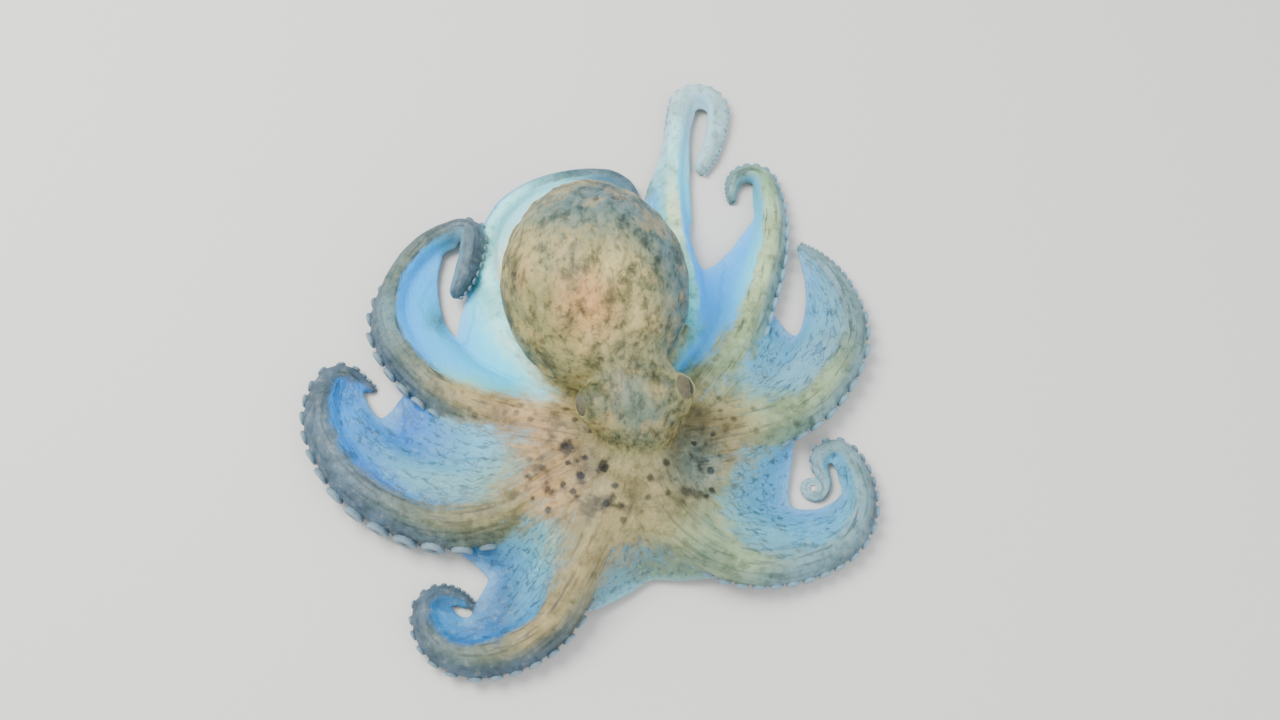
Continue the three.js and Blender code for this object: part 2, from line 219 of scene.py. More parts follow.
def evened(values):
    # a table's corners, rounded off along the arm
    reach = armSizes["even"]
    wide = np.pad(values, reach, mode="edge")
    return np.convolve(wide, np.ones(2 * reach + 1) / (2 * reach + 1), "valid")


def armLine(name):
    # the centreline of an arm at every millimetre
    a = arms[name]
    size = armSizes
    turns = np.concatenate([np.full(length, math.radians(turn) / length) for length, turn in a["run"]])
    heading = math.radians(a["azimuth"]) + np.concatenate([[0], np.cumsum(turns)])
    mid = (heading[1:] + heading[:-1]) / 2
    side = math.copysign(1, a["roll"])
    root = size["rootCircle"]
    x = crown["x"] + root * math.cos(heading[0]) + np.concatenate([[0], np.cumsum(np.cos(mid))])
    y = crown["y"] + root * math.sin(heading[0]) + np.concatenate([[0], np.cumsum(np.sin(mid))])
    s = np.arange(len(x), dtype=float)
    share = s / s[-1]
    radius = evened(readTable(a["girth"], s))
    shift = evened(readTable(a["girth"], s, 2)) * side
    z = blendTo(a["height"], radius * size["rest"], ease(s, 0, size["landing"]))
    z = z + a.get("tipLift", 0) * ease(share, 0.78, 0.86)
    settled = blendTo(a["roll"], a.get("tipRoll", a["roll"]), ease(share, 0.84, 0.93))
    if "facing" in a:
        settled = evened(readTable(a["facing"], s))
    roll = np.radians(settled * ease(s, size["rollStart"], size["rollStart"] + size["rollLength"]))
    return {"s": s, "x": x - np.sin(heading) * shift, "y": y + np.cos(heading) * shift, "z": z,
            "heading": heading, "radius": radius, "roll": roll, "side": side}


lines = {name: armLine(name) for name in arms}


def along(name, s):
    # the centreline's values at any distances s, run straight on inside the crown
    line = lines[name]
    inside = np.minimum(s, 0)
    at = {key: np.interp(s, line["s"], line[key]) for key in ("x", "y", "z", "heading", "radius", "roll")}
    at["x"] = at["x"] + inside * np.cos(at["heading"])
    at["y"] = at["y"] + inside * np.sin(at["heading"])
    at["z"] = at["z"] + (crown["z"] - at["z"]) * np.minimum(-inside / armSizes["rootCircle"], 1)
    return at


def armPoint(at, angle, reach):
    # angle 0 is the way the suckers face, 180 the arm's back
    around = angle + at["roll"]
    out = reach * np.sin(around)
    return np.stack([at["x"] - out * np.sin(at["heading"]), at["y"] + out * np.cos(at["heading"]),
                     at["z"] - reach * np.cos(around)], axis=-1)


# rows: degrees of each row from the middle of the underside. seat, uneven and lobe sizes: in sucker radii.
suckers = {"rows": 31, "spacing": 2.02, "start": -12, "stagger": 3.0, "endGap": 1.5, "seat": 0.12,
           "uneven": 0.07, "smallestLobe": 1.6, "lobe": (1.06, 1.04, 1.15), "lobeDepth": 0.55,
           "sides": 10, "stalk": 0.8, "stalkRadius": 0.8, "lowest": 0.05,
           # each ring of the cup from the stalk up: its rise, and its width beside the ring before
           "rings": ((0.24, 1.24), (0.22, 0.93), (0.1, 0.8), (-0.12, 0.7), (-0.2, 0.5)),
           "pale": {"R4": 0.8, "L4": 1.0, "L3": 0.6, "L2": 0.35, "L1": 0.2}}


def suckerPlaces(name):
    # centre, outward and forward directions and radius of every sucker in an arm's two rows
    total = lines[name]["s"][-1]
    found = []
    for row in (1, -1):
        s = suckers["start"] + (0 if row > 0 else suckers["stagger"])
        while s < total - suckers["endGap"]:
            at = {key: float(value) for key, value in along(name, np.array(s, dtype=float)).items()}
            radius = float(readTable(arms[name]["cups"], s)) * float(blendTo(0.7, 1, ease(s, -12, 20)))
            angle = math.radians(suckers["rows"]) * row
            reach = at["radius"] * (1 + armSizes["suckerRidge"]) - suckers["seat"] * radius
            centre = armPoint(at, angle, reach)
            outward = armPoint(at, angle, reach + 1) - centre
            forward = np.array([math.cos(at["heading"]), math.sin(at["heading"]), 0])
            uneven = 1 + suckers["uneven"] * noise.noise(Vector(centre) * 0.3)
            found.append((centre, outward, forward, radius * uneven))
            s += radius * suckers["spacing"]
    return found


def makeArm(name):
    total = lines[name]["s"][-1]
    bpy.ops.mesh.primitive_uv_sphere_add(segments=armSizes["around"],
                                         ring_count=int(total / armSizes["ringSpacing"]))
    piece = bpy.context.object
    co = readCo(piece)
    angle = np.arctan2(co[:, 1], co[:, 0])
    t = np.arccos(np.clip(co[:, 2], -1, 1)) / math.pi
    s = blendTo(-armSizes["inset"], total, t)
    at = along(name, s)
    ridge = 1 + armSizes["suckerRidge"] * ease(-np.abs(angle), -math.radians(80), -math.radians(30))
    groove = 1 - 0.06 * np.exp(-(angle / math.radians(12)) ** 2)
    ends = np.sqrt(np.clip(1 - np.clip((t - 0.985) / 0.015, 0, 1) ** 2, 0, 1)) * ease(t, -0.01, 0.02)
    writeCo(piece, armPoint(at, angle, at["radius"] * ridge * groove * ends) * mm)
    return piece


def makeLobes(name):
    # the soft swelling at the foot of each sucker
    lobes = []
    for centre, outward, forward, radius in suckerPlaces(name):
        if radius < suckers["smallestLobe"]:
            continue
        bpy.ops.mesh.primitive_ico_sphere_add(subdivisions=2)
        piece = bpy.context.object
        co = readCo(piece)
        sideways = np.cross(outward, forward)
        spun = co * radius * np.array(suckers["lobe"])
        foot = centre - outward * radius * suckers["lobeDepth"]
        point = foot + np.outer(spun[:, 0], forward) + np.outer(spun[:, 1], sideways)
        writeCo(piece, (point + np.outer(spun[:, 2], outward)) * mm)
        lobes.append(piece)
    return lobes


def makeHem(name, edge):
    # a thin margin of skin along an arm's inner or outer flank
    table = arms[name][edge]
    side = lines[name]["side"] * (1 if edge == "outer" else -1)
    start, end = table[0][0], table[-1][0]
    bpy.ops.mesh.primitive_grid_add(x_subdivisions=8, y_subdivisions=int((end - start) / 2), size=2)
    piece = bpy.context.object
    co = readCo(piece)
    across = (co[:, 0] + 1) / 2
    s = blendTo(start, end, (co[:, 1] + 1) / 2)
    at = along(name, s)
    width = evened(readTable(table, np.arange(start, end + 1)))
    width = np.interp(s, np.arange(start, end + 1), width)
    reach = blendTo(at["radius"] * 0.3, at["radius"] + width, across) * side
    ripple = armSizes["ripple"] * np.sin(s / armSizes["rippleLength"]) * across ** 2
    low = at["z"] + at["radius"] * blendTo(0.35, -0.35, across) + ripple
    x = at["x"] - reach * np.sin(at["heading"])
    y = at["y"] + reach * np.cos(at["heading"])
    writeCo(piece, np.stack([x, y, np.maximum(low, armSizes["hemFloor"])], axis=-1) * mm)
    applyModifier(piece, "SOLIDIFY", thickness=armSizes["hemThickness"] * mm, offset=0)
    return piece


# ---- webs

def webPoint(web, u, v):
    one, two = web["between"]
    deepest = web["deepest"]
    aside = np.clip(np.where(v < deepest, (deepest - v) / deepest, (v - deepest) / (1 - deepest)), 0, 1)
    steep = np.where(v < deepest, *web["steep"])
    climb = (1 - (1 - aside) ** steep) ** webSizes["bottom"]
    out = u * blendTo(web["throat"], 1, climb)
    a = along(one, out * web["reach"][0])
    b = along(two, out * web["reach"][1])
    lift = blendTo(webSizes["rootLift"], webSizes["edgeLift"], u)
    span = blendTo(a["z"] + a["radius"] * lift, b["z"] + b["radius"] * lift, v)
    slack = np.clip(4 * v * (1 - v), 0, 1)
    low = np.minimum(span, webSizes["edgeHeight"])
    z = blendTo(span, low, ease(u, 0.45, 1) * np.sqrt(slack))
    return np.stack([blendTo(a["x"], b["x"], v), blendTo(a["y"], b["y"], v), z], axis=-1)


def makeWeb(web):
    bpy.ops.mesh.primitive_grid_add(x_subdivisions=webSizes["across"], y_subdivisions=webSizes["outward"],
                                    size=2)
    piece = bpy.context.object
    co = readCo(piece)
    v = (co[:, 0] + 1) / 2
    u = (co[:, 1] + 1) / 2
    writeCo(piece, webPoint(web, u, v) * mm)
    applyModifier(piece, "SOLIDIFY", thickness=webSizes["thickness"] * mm, offset=0)
    return piece


# ---- body

def turned(x, y, yaw):
    c, s = math.cos(math.radians(yaw)), math.sin(math.radians(yaw))
    return x * c - y * s, x * s + y * c


def makeEgg(size, segments=48):
    bpy.ops.mesh.primitive_uv_sphere_add(segments=segments, ring_count=segments * 2 // 3)
    piece = bpy.context.object
    co = readCo(piece)
    slim = 1 - size.get("point", 0) * np.maximum(co[:, 1], 0) ** 2
    depth = np.where(co[:, 2] < 0, size.get("sag", 1), 1)
    x = co[:, 0] * size["halfWidth"] * slim
    y = co[:, 1] * size["halfLength"]
    z = co[:, 2] * size["halfHeight"] * slim * depth
    pitch = math.radians(size.get("pitch", 0))
    y, z = y * math.cos(pitch) - z * math.sin(pitch), y * math.sin(pitch) + z * math.cos(pitch)
    x, y = turned(x, y, size.get("yaw", 0))
    writeCo(piece, np.stack([x + size["x"], y + size["y"], z + size["z"]], axis=-1) * mm)
    return piece


def besideHead(side, spread, z):
    x, y = turned(side * spread, 0, head["yaw"])
    return Vector((head["x"] + x, eye["y"] + y, z))


def eyeFrame(side):
    # outward look, level slit direction and the direction up the eye
    up = math.radians(eye["lookUp"][side])
    x, y = turned(side, 0, head["yaw"])
    look = Vector((x * math.cos(up), y * math.cos(up), math.sin(up)))
    x, y = turned(0, 1, head["yaw"])
    level = Vector((x, y, 0))
    return besideHead(side, eye["spread"], eye["z"]), look, level, look.cross(level) * side


def makeLid(side):
    # an oval roll of skin round the eye opening
    centre, look, level, up = eyeFrame(side)
    tube = 0.25
    bpy.ops.mesh.primitive_torus_add(major_segments=48, minor_segments=12, major_radius=1, minor_radius=tube)
    piece = bpy.context.object
    co = readCo(piece)
    spin = np.arctan2(co[:, 1], co[:, 0])
    ring = np.hypot(co[:, 0], co[:, 1]) - 1
    thick = eye["lidThickness"] / tube
    a = (eye["lidLength"] + ring * thick) * np.cos(spin)
    b = (eye["lidHeight"] + ring * thick) * np.sin(spin)
    sunk = np.sqrt(np.maximum(eye["radius"] ** 2 - eye["lidHeight"] ** 2, 0))
    c = sunk + co[:, 2] * thick - eye["lidBend"] * a ** 2
    point = np.outer(a, level) + np.outer(b, up) + np.outer(c, look) + np.array(centre)
    writeCo(piece, point * mm)
    return piece


def makeMound(side):
    at = besideHead(side, eyeMound["spread"], eyeMound["z"])
    return makeEgg({**eyeMound, "x": at.x, "y": at.y, "z": at.z, "yaw": head["yaw"]}, 32)


def makeFunnel():
    size = funnel
    bpy.ops.mesh.primitive_cone_add(vertices=28, radius1=size["rootRadius"], radius2=size["mouthRadius"],
                                    depth=size["length"], location=(0, 0, size["length"] / 2))
    piece = bpy.context.object
    bpy.ops.object.transform_apply(location=True)
    editTop(piece)
    bpy.ops.mesh.inset(thickness=size["mouthRadius"] - size["boreRadius"])
    bpy.ops.mesh.extrude_region_move(TRANSFORM_OT_translate={"value": (0, 0, -size["boreDepth"])})
    bpy.ops.object.mode_set(mode="OBJECT")
    co = readCo(piece)
    x, y = turned(co[:, 0], co[:, 2], size["yaw"])
    writeCo(piece, np.stack([x + size["x"], y + size["y"], co[:, 1] + size["z"]], axis=-1) * mm)
    return piece


def fuse():
    lumps = [makeEgg(mantle, 72), makeEgg(head), makeEgg(neck), makeEgg(brow), makeFunnel()]
    lumps += [makeEgg({**crown, "halfWidth": crown["radius"], "halfLength": crown["radius"]})]
    lumps += [makeMound(side) for side in (1, -1)]
    lumps += [makeLid(side) for side in (1, -1)]
    lumps += [makeArm(name) for name in arms]
    lumps += [lobe for name in arms for lobe in makeLobes(name)]
    lumps += [makeHem(name, edge) for name in arms for edge in ("inner", "outer") if edge in arms[name]]
    lumps += [makeWeb(web) for web in webs]
    pick(*lumps)
    bpy.ops.object.join()
    piece = bpy.context.object
    piece.name = "octopus_skin"
    applyModifier(piece, "REMESH", mode="VOXEL", voxel_size=fusing["voxel"] * mm)
    print("fused the flesh:", len(piece.data.polygons), "faces")
    return piece


skin = fuse()


# ---- where each point of the skin is

def armPlaces(points):
    # nearest arm, distance along it and the offset across it
    tree = KDTree(sum(len(line["s"]) for line in lines.values()))
    owners = []
    for name, line in lines.items():
        for i in range(len(line["s"])):
            tree.insert((line["x"][i], line["y"][i], line["z"][i]), len(owners))
            owners.append((name, i))
    tree.balance()
    found = [owners[tree.find(p)[1]] for p in points]
    names = list(lines)
    who = np.array([names.index(name) for name, i in found])
    at = {key: np.zeros(len(points)) for key in ("x", "y", "z", "heading", "radius", "side", "s")}
    index = np.array([i for name, i in found])
    for k, name in enumerate(names):
        line = lines[name]
        mine = who == k
        for key in ("x", "y", "z", "heading", "radius"):
            at[key][mine] = line[key][index[mine]]
        at["side"][mine] = line["side"]
        at["s"][mine] = index[mine]
    dx, dy, dz = points[:, 0] - at["x"], points[:, 1] - at["y"], points[:, 2] - at["z"]
    across = (-dx * np.sin(at["heading"]) + dy * np.cos(at["heading"])) * at["side"]
    return {**at, "who": who, "across": across, "high": dz, "off": np.hypot(across, dz) - at["radius"]}


def webPlaces(points):
    # nearest web, the place on it and how far off it is
    rows = []
    u, v = np.meshgrid(np.linspace(0, 1, 60), np.linspace(0, 1, 50))
    u, v = u.ravel(), v.ravel()
    for k, web in enumerate(webs):
        rows.append(np.column_stack([webPoint(web, u, v), u, v, np.full(len(u), k)]))
    rows = np.concatenate(rows)
    tree = KDTree(len(rows))
    for i, row in enumerate(rows):
        tree.insert(row[:3], i)
    tree.balance()
    found = [tree.find(p)[1:] for p in points]
    index = np.array([i for i, gap in found])
    return rows[index, 3], rows[index, 4], rows[index, 5].astype(int), np.array([gap for i, gap in found])


def eggDepth(points, size):
    x, y = points[:, 0] - size["x"], points[:, 1] - size["y"]
    x, y = turned(x, y, -size.get("yaw", 0))
    return np.sqrt((x / size["halfWidth"]) ** 2 + (y / size["halfLength"]) ** 2
                   + ((points[:, 2] - size["z"]) / size["halfHeight"]) ** 2)


def bodyDepth(points):
    # 1 on the surface of the mantle, neck, head and eye mounds, more outside
    lumps = [mantle, neck, head]
    for side in (1, -1):
        at = besideHead(side, eyeMound["spread"], eyeMound["z"])
        lumps.append({**eyeMound, "x": at.x, "y": at.y, "z": at.z, "yaw": head["yaw"]})
    return np.min([eggDepth(points, lump) for lump in lumps], axis=0)


def eyeGap(points):
    # how far each point is from the nearer eye
    return np.min([np.linalg.norm(points - np.array(eyeFrame(side)[0]), axis=1) for side in (1, -1)], axis=0)


def smoothed(piece, values, passes):
    # averages a value over neighbouring points
    edges = np.empty(len(piece.data.edges) * 2, dtype=np.int64)
    piece.data.edges.foreach_get("vertices", edges)
    a, b = edges[0::2], edges[1::2]
    count = np.bincount(edges, minlength=len(values)) + 1
    for turn in range(passes):
        total = values + np.bincount(a, values[b], len(values)) + np.bincount(b, values[a], len(values))
        values = total / count
    return values


def softenWith(piece, weights, passes, factor=0.5):
    group = piece.vertex_groups.new(name="soften")
    levels = np.round(weights * 20).astype(int)
    for level in range(1, 21):
        chosen = np.nonzero(levels == level)[0].tolist()
        if chosen:
            group.add(chosen, level / 20, "REPLACE")
    applyModifier(piece, "SMOOTH", iterations=passes, factor=factor, vertex_group="soften")
    piece.vertex_groups.remove(piece.vertex_groups["soften"])


def shapeSkin(piece):
    co = readCo(piece) / mm
    place = armPlaces(co)
    gap = webPlaces(co)[3]
    fromCrown = np.hypot(co[:, 0] - crown["x"], co[:, 1] - crown["y"])
    nearEye = eyeGap(co)
    middle = 1 - ease(fromCrown, 50, 85)
    seams = fusing["seams"] * (1 - ease(gap, 2.5, 6)) * (1 - ease(place["off"], 2, 7))
    seams = seams * ease(place["radius"], 3, 6)
    joints = blendTo(fusing["elsewhere"], 1, np.maximum(middle, seams))
    joints = joints * blendTo(0.2, 1, ease(nearEye, 12, 17))
    softenWith(piece, np.clip(joints, 0, 1), fusing["creasePasses"])
    co = readCo(piece)
    # sockets: the skin inside the lids drops behind the eyeball
    for side in (1, -1):
        centre, look, level, up = eyeFrame(side)
        rel = co / mm - np.array(centre)
        a, b, c = rel @ np.array(level), rel @ np.array(up), rel @ np.array(look)
        margin = eye["socketMargin"]
        opening = np.hypot(a / (eye["lidLength"] - margin), b / (eye["lidHeight"] - margin))
        inside = (opening < 1) & (c > 0) & (np.linalg.norm(rel, axis=1) < eye["socketReach"])
        depth = np.sqrt(np.maximum((eye["radius"] - eye["clearance"]) ** 2 - a ** 2 * 0.78 - b ** 2, 1))
        drop = np.minimum(depth - c, 0) * ease(1 - opening, 0, 0.18)
        co[inside] += np.outer(drop[inside], look) * mm
    writeCo(piece, co)


shapeSkin(skin)
print("shaped the skin")


# ---- folds, wrinkles and warts

relief = {"fold": 1.1, "wrinkle": 0.75, "wart": 1.3, "wartCell": 8.0, "wartWidth": 0.36, "ripple": 0.35}


def roughen(piece):
    # strong on the mantle and head, faint on the arms and webs
    co = readCo(piece) / mm
    body = 1 - ease(bodyDepth(co), 1.03, 1.25)
    nearEye = eyeGap(co)
    calm = ease(nearEye, 9, 16)
    x, y = turned(co[:, 0] - mantle["x"], co[:, 1] - mantle["y"], -mantle["yaw"])
    push = np.zeros(len(co))
    for i in np.nonzero(body * calm > 0.02)[0]:
        p = Vector((x[i], y[i] * 0.38, co[i, 2]))
        bumps = noise.noise(p * 0.09) * relief["fold"] + noise.noise(p * 0.24) * relief["wrinkle"]
        gaps, seeds = noise.voronoi(Vector((x[i], y[i] * 0.7, co[i, 2])) / relief["wartCell"])
        wart = max(0, 1 - gaps[0] / relief["wartWidth"]) ** 1.5
        push[i] = (bumps + wart * relief["wart"] * max(0, noise.cell(seeds[0]))) * body[i] * calm[i]
    for i in np.nonzero(body < 0.98)[0]:
        p = Vector(co[i])
        push[i] += noise.noise(p * 0.13) * relief["ripple"] * (1 - body[i]) * calm[i]
    writeCo(piece, (co + readNormals(piece) * push[:, None]) * mm)


def layDown(piece):
    # nothing goes below the floor it rests on
    co = readCo(piece)
    co[:, 2] = np.maximum(co[:, 2], 0)
    writeCo(piece, co)


def dropCrumbs(piece):
    # fusing and thinning leave a few crumbs that don't join the skin
    pick(piece)
    top = int(np.argmax(readCo(piece)[:, 2]))
    bpy.ops.object.mode_set(mode="EDIT")
    bpy.ops.mesh.select_mode(type="VERT")
    bpy.ops.mesh.select_all(action="DESELECT")
    bpy.ops.object.mode_set(mode="OBJECT")
    piece.data.vertices[top].select = True
    bpy.ops.object.mode_set(mode="EDIT")
    bpy.ops.mesh.select_linked()
    bpy.ops.mesh.select_all(action="INVERT")
    bpy.ops.mesh.delete(type="VERT")
    bpy.ops.object.mode_set(mode="OBJECT")


roughen(skin)
triangles = sum(len(face.vertices) - 2 for face in skin.data.polygons)
applyModifier(skin, "DECIMATE", ratio=min(1, fusing["triangles"] / triangles))
dropCrumbs(skin)
layDown(skin)
skin.data.shade_smooth()
print("thinned the skin:", len(skin.data.polygons), "faces")


# ---- what the skin's colours go by

tones = {
    "crown": (144, 132, 86), "orange": (176, 136, 84), "tan": (158, 142, 92), "olive": (134, 128, 84),
    "stone": (96, 112, 98), "mossCream": (142, 164, 124),
    "greyCyan": (92, 126, 132), "lavender": (68, 90, 106), "paleLavender": (84, 108, 122),
    "mist": (112, 148, 154), "yellowGreen": (148, 192, 150), "paleYellow": (176, 200, 150),
    "cream": (214, 226, 172), "chalk": (255, 255, 224),
    "pearl": (168, 206, 212), "white": (164, 255, 255), "ice": (0, 208, 255), "cyanWhite": (96, 232, 255),
    "sky": (6, 166, 255), "blue": (22, 114, 196), "deepBlue": (20, 98, 164), "netBlue": (42, 100, 142),
    "aqua": (84, 154, 174), "midBlue": (58, 128, 186),
    "teal": (76, 120, 120), "greyTeal": (100, 124, 98), "paleAqua": (112, 156, 138), "slate": (74, 108, 118),
    # dark is a painted shade tone, laid in the folds round the head, crown and arm roots
    "dark": (54, 58, 46), "head": (100, 112, 92), "bodyTan": (148, 140, 86), "bodyOlive": (112, 118, 74),
    "paleGreen": (84, 110, 106), "yellowTan": (222, 202, 138), "rust": (206, 138, 80), "grey": (82, 108, 100),
    "underside": (200, 192, 182),
}

# tones along an arm's back, its inner side and its outer flank, and how spotted and lined it is
armPaint = {
    "R1": {"back": [(15, "crown"), (45, "tan"), (90, "tan"), (120, "stone"), (155, "lavender")],
           "inner": [(60, "teal"), (110, "deepBlue"), (202, "netBlue")],
           "flank": [(40, "stone"), (90, "lavender")], "spots": 0.6, "lines": 0.9},
    "R2": {"back": [(5, "crown"), (30, "orange"), (48, "olive"), (75, "olive"), (105, "stone"),
                    (140, "paleLavender"), (249, "lavender")],
           "inner": [(50, "paleAqua"), (95, "netBlue"), (130, "blue"), (249, "blue")],
           "flank": [(60, "stone"), (110, "lavender")], "spots": 0.9, "lines": 0.9},
    "R3": {"back": [(5, "crown"), (30, "orange"), (80, "tan"), (115, "stone"), (150, "greyCyan"),
                    (195, "stone"), (240, "paleLavender")],
           "inner": [(50, "tan"), (85, "paleYellow"), (115, "sky"), (205, "sky"), (225, "greyCyan")],
           "flank": [(60, "stone"), (110, "lavender")], "spots": 1.0, "lines": 1.0},
    "R4": {"back": [(10, "crown"), (35, "cream"), (60, "white"), (190, "white"), (235, "slate"),
                    (296, "lavender")],
           "inner": [(30, "cream"), (60, "white"), (220, "white"), (250, "slate")],
           "flank": [(100, "white"), (150, "cyanWhite"), (175, "blue"), (240, "slate")],
           "spots": 0.0, "lines": 0.0},
    "L4": {"back": [(20, "aqua"), (60, "cyanWhite"), (100, "white"), (140, "cream"), (185, "white"),
                    (225, "pearl"), (313, "pearl")],
           "inner": [(40, "sky"), (125, "sky"), (170, "cyanWhite"), (215, "pearl")],
           "flank": [(60, "sky"), (120, "cyanWhite"), (200, "pearl")], "spots": 0.0, "lines": 0.15},
    "L3": {"back": [(10, "crown"), (40, "mossCream"), (80, "paleYellow"), (150, "paleYellow"),
                    (190, "yellowGreen"), (244, "mist")],
           "inner": [(60, "sky"), (110, "cyanWhite"), (200, "aqua"), (244, "mist")],
           "flank": [(50, "paleAqua"), (110, "mist")], "spots": 0.8, "lines": 1.0},
    "L2": {"back": [(8, "crown"), (28, "tan"), (50, "mossCream"), (100, "mossCream"), (140, "mist")],
           "inner": [(40, "paleAqua"), (100, "mist"), (211, "aqua")],
           "flank": [(40, "paleAqua"), (90, "mist")], "spots": 0.9, "lines": 1.0},
    "L1": {"back": [(12, "crown"), (40, "mossCream"), (65, "mossCream"), (95, "mist"), (200, "mist"),
                    (278, "pearl")],
           "inner": [(60, "teal"), (120, "aqua"), (212, "aqua"), (240, "mist")],
           "flank": [(40, "mossCream"), (80, "mist"), (150, "paleLavender"), (240, "pearl")],
           "spots": 0.6, "lines": 0.9},
}

# tones out along each web and beside its two arms, and how flecked it is
webPaint = [
    {"out": [(0.3, "greyTeal"), (0.8, "greyTeal"), (1, "paleAqua")], "fleck": 0.9},
    {"out": [(0.25, "tan"), (0.45, "paleAqua"), (0.65, "aqua"), (0.85, "netBlue"),
             (1, "deepBlue")], "fleck": 1.0},
    {"out": [(0.2, "tan"), (0.35, "paleAqua"), (0.55, "aqua"), (0.75, "midBlue"), (0.85, "blue"),
             (1, "deepBlue")],
     "fleck": 0.9},
    {"out": [(0.08, "white"), (0.3, "ice"), (0.8, "ice"), (1, "sky")], "beside": ("sky", "white"),
     "fleck": 0.0},
    {"out": [(0.2, "cyanWhite"), (0.6, "sky")], "fleck": 0.0},
    {"out": [(0.3, "sky"), (1, "sky")], "fleck": 0.05},
    {"out": [(0.2, "greyTeal"), (0.4, "paleAqua"), (0.6, "mist"), (0.8, "aqua"),
             (1, "midBlue")], "fleck": 1.0},
    {"out": [(0.2, "greyTeal"), (0.4, "paleAqua"), (0.65, "aqua"), (1, "midBlue")], "fleck": 1.0},
]

# soft patches on the body: tone, place, reach and strength. The dark patches are painted shade in the folds
# round the head, crown and arm roots, partly over the crown's own dark mottling
patches = [
    ("bodyOlive", (-40, 1, 76), 34, 0.7), ("bodyOlive", (-31, -24, 63), 26, 0.3),
    ("grey", (-20, -36, 60), 14, 0.3), ("paleGreen", (-10, 52, 88), 36, 0.95),
    ("slate", (13, 66, 84), 30, 0.85), ("slate", (32, 50, 86), 30, 0.85),
    ("slate", (50, 28, 80), 27, 0.9), ("slate", (60, 6, 68), 26, 1.0), ("slate", (58, -16, 58), 24, 1.0),
    ("yellowTan", (9, -35, 92), 22, 0.95), ("yellowTan", (34, -20, 88), 18, 0.65),
    ("rust", (2, -10, 98), 23, 0.9), ("rust", (-36, 14, 84), 13, 0.45), ("rust", (0, -32, 92), 9, 0.5),
    ("yellowTan", (20, 8, 98), 22, 0.6), ("yellowTan", (-27, 20, 92), 14, 0.45),
    ("head", (27, -55, 68), 30, 0.95), ("grey", (34, -68, 64), 14, 0.7), ("grey", (20, -50, 72), 11, 0.5),
    # from here on, the dark patches are painted shade in the folds round the head, crown and arm roots
    ("orange", (-10, -82, 38), 22, 0.6), ("dark", (1, -84, 40), 14, 0.45),
    ("dark", (64, -68, 38), 14, 0.6), ("slate", (60, -84, 36), 18, 0.8), ("dark", (53, -64, 50), 9, 0.6),
    ("dark", (16, -62, 66), 7, 0.4), ("dark", (47, -74, 40), 9, 0.75), ("dark", (51, -90, 36), 8, 0.6),
    ("dark", (60, -112, 32), 8, 0.5), ("slate", (67, -132, 28), 9, 0.6), ("chalk", (-26, -37, 32), 13, 0.85),
    ("chalk", (-36, -24, 30), 9, 0.8),
]
# the chalky margin of web that shows behind the mantle, from inner to outer in mantle radii
chalkHem = {"back": 17, "inner": 1.08, "outer": 1.24}
# dark spots gather round these places: place and reach
clusters = [((1, -84, 40), 21), ((-10, -76, 38), 15), ((62, -72, 38), 20), ((60, -88, 36), 16),
            ((-24, -100, 33), 15), ((14, -104, 36), 12)]


def toLinear(shade):
    shade = np.asarray(shade) / 255
    return np.where(shade <= 0.04045, shade / 12.92, ((shade + 0.055) / 1.055) ** 2.4)


def paintTone(table, at):
    # the colour between named tones along a distance
    stops = [stop for stop, tone in table]
    shades = np.array([tones[tone] for stop, tone in table])
    return np.stack([np.interp(at, stops, shades[:, c]) for c in range(3)], axis=-1)


def storeValue(piece, name, values):
    layer = piece.data.attributes.new(name, "FLOAT", "POINT")
    layer.data.foreach_set("value", values.astype(np.float32))


def storeVector(piece, name, values):
    layer = piece.data.attributes.new(name, "FLOAT_VECTOR", "POINT")
    layer.data.foreach_set("vector", np.ascontiguousarray(values, dtype=np.float32).ravel())


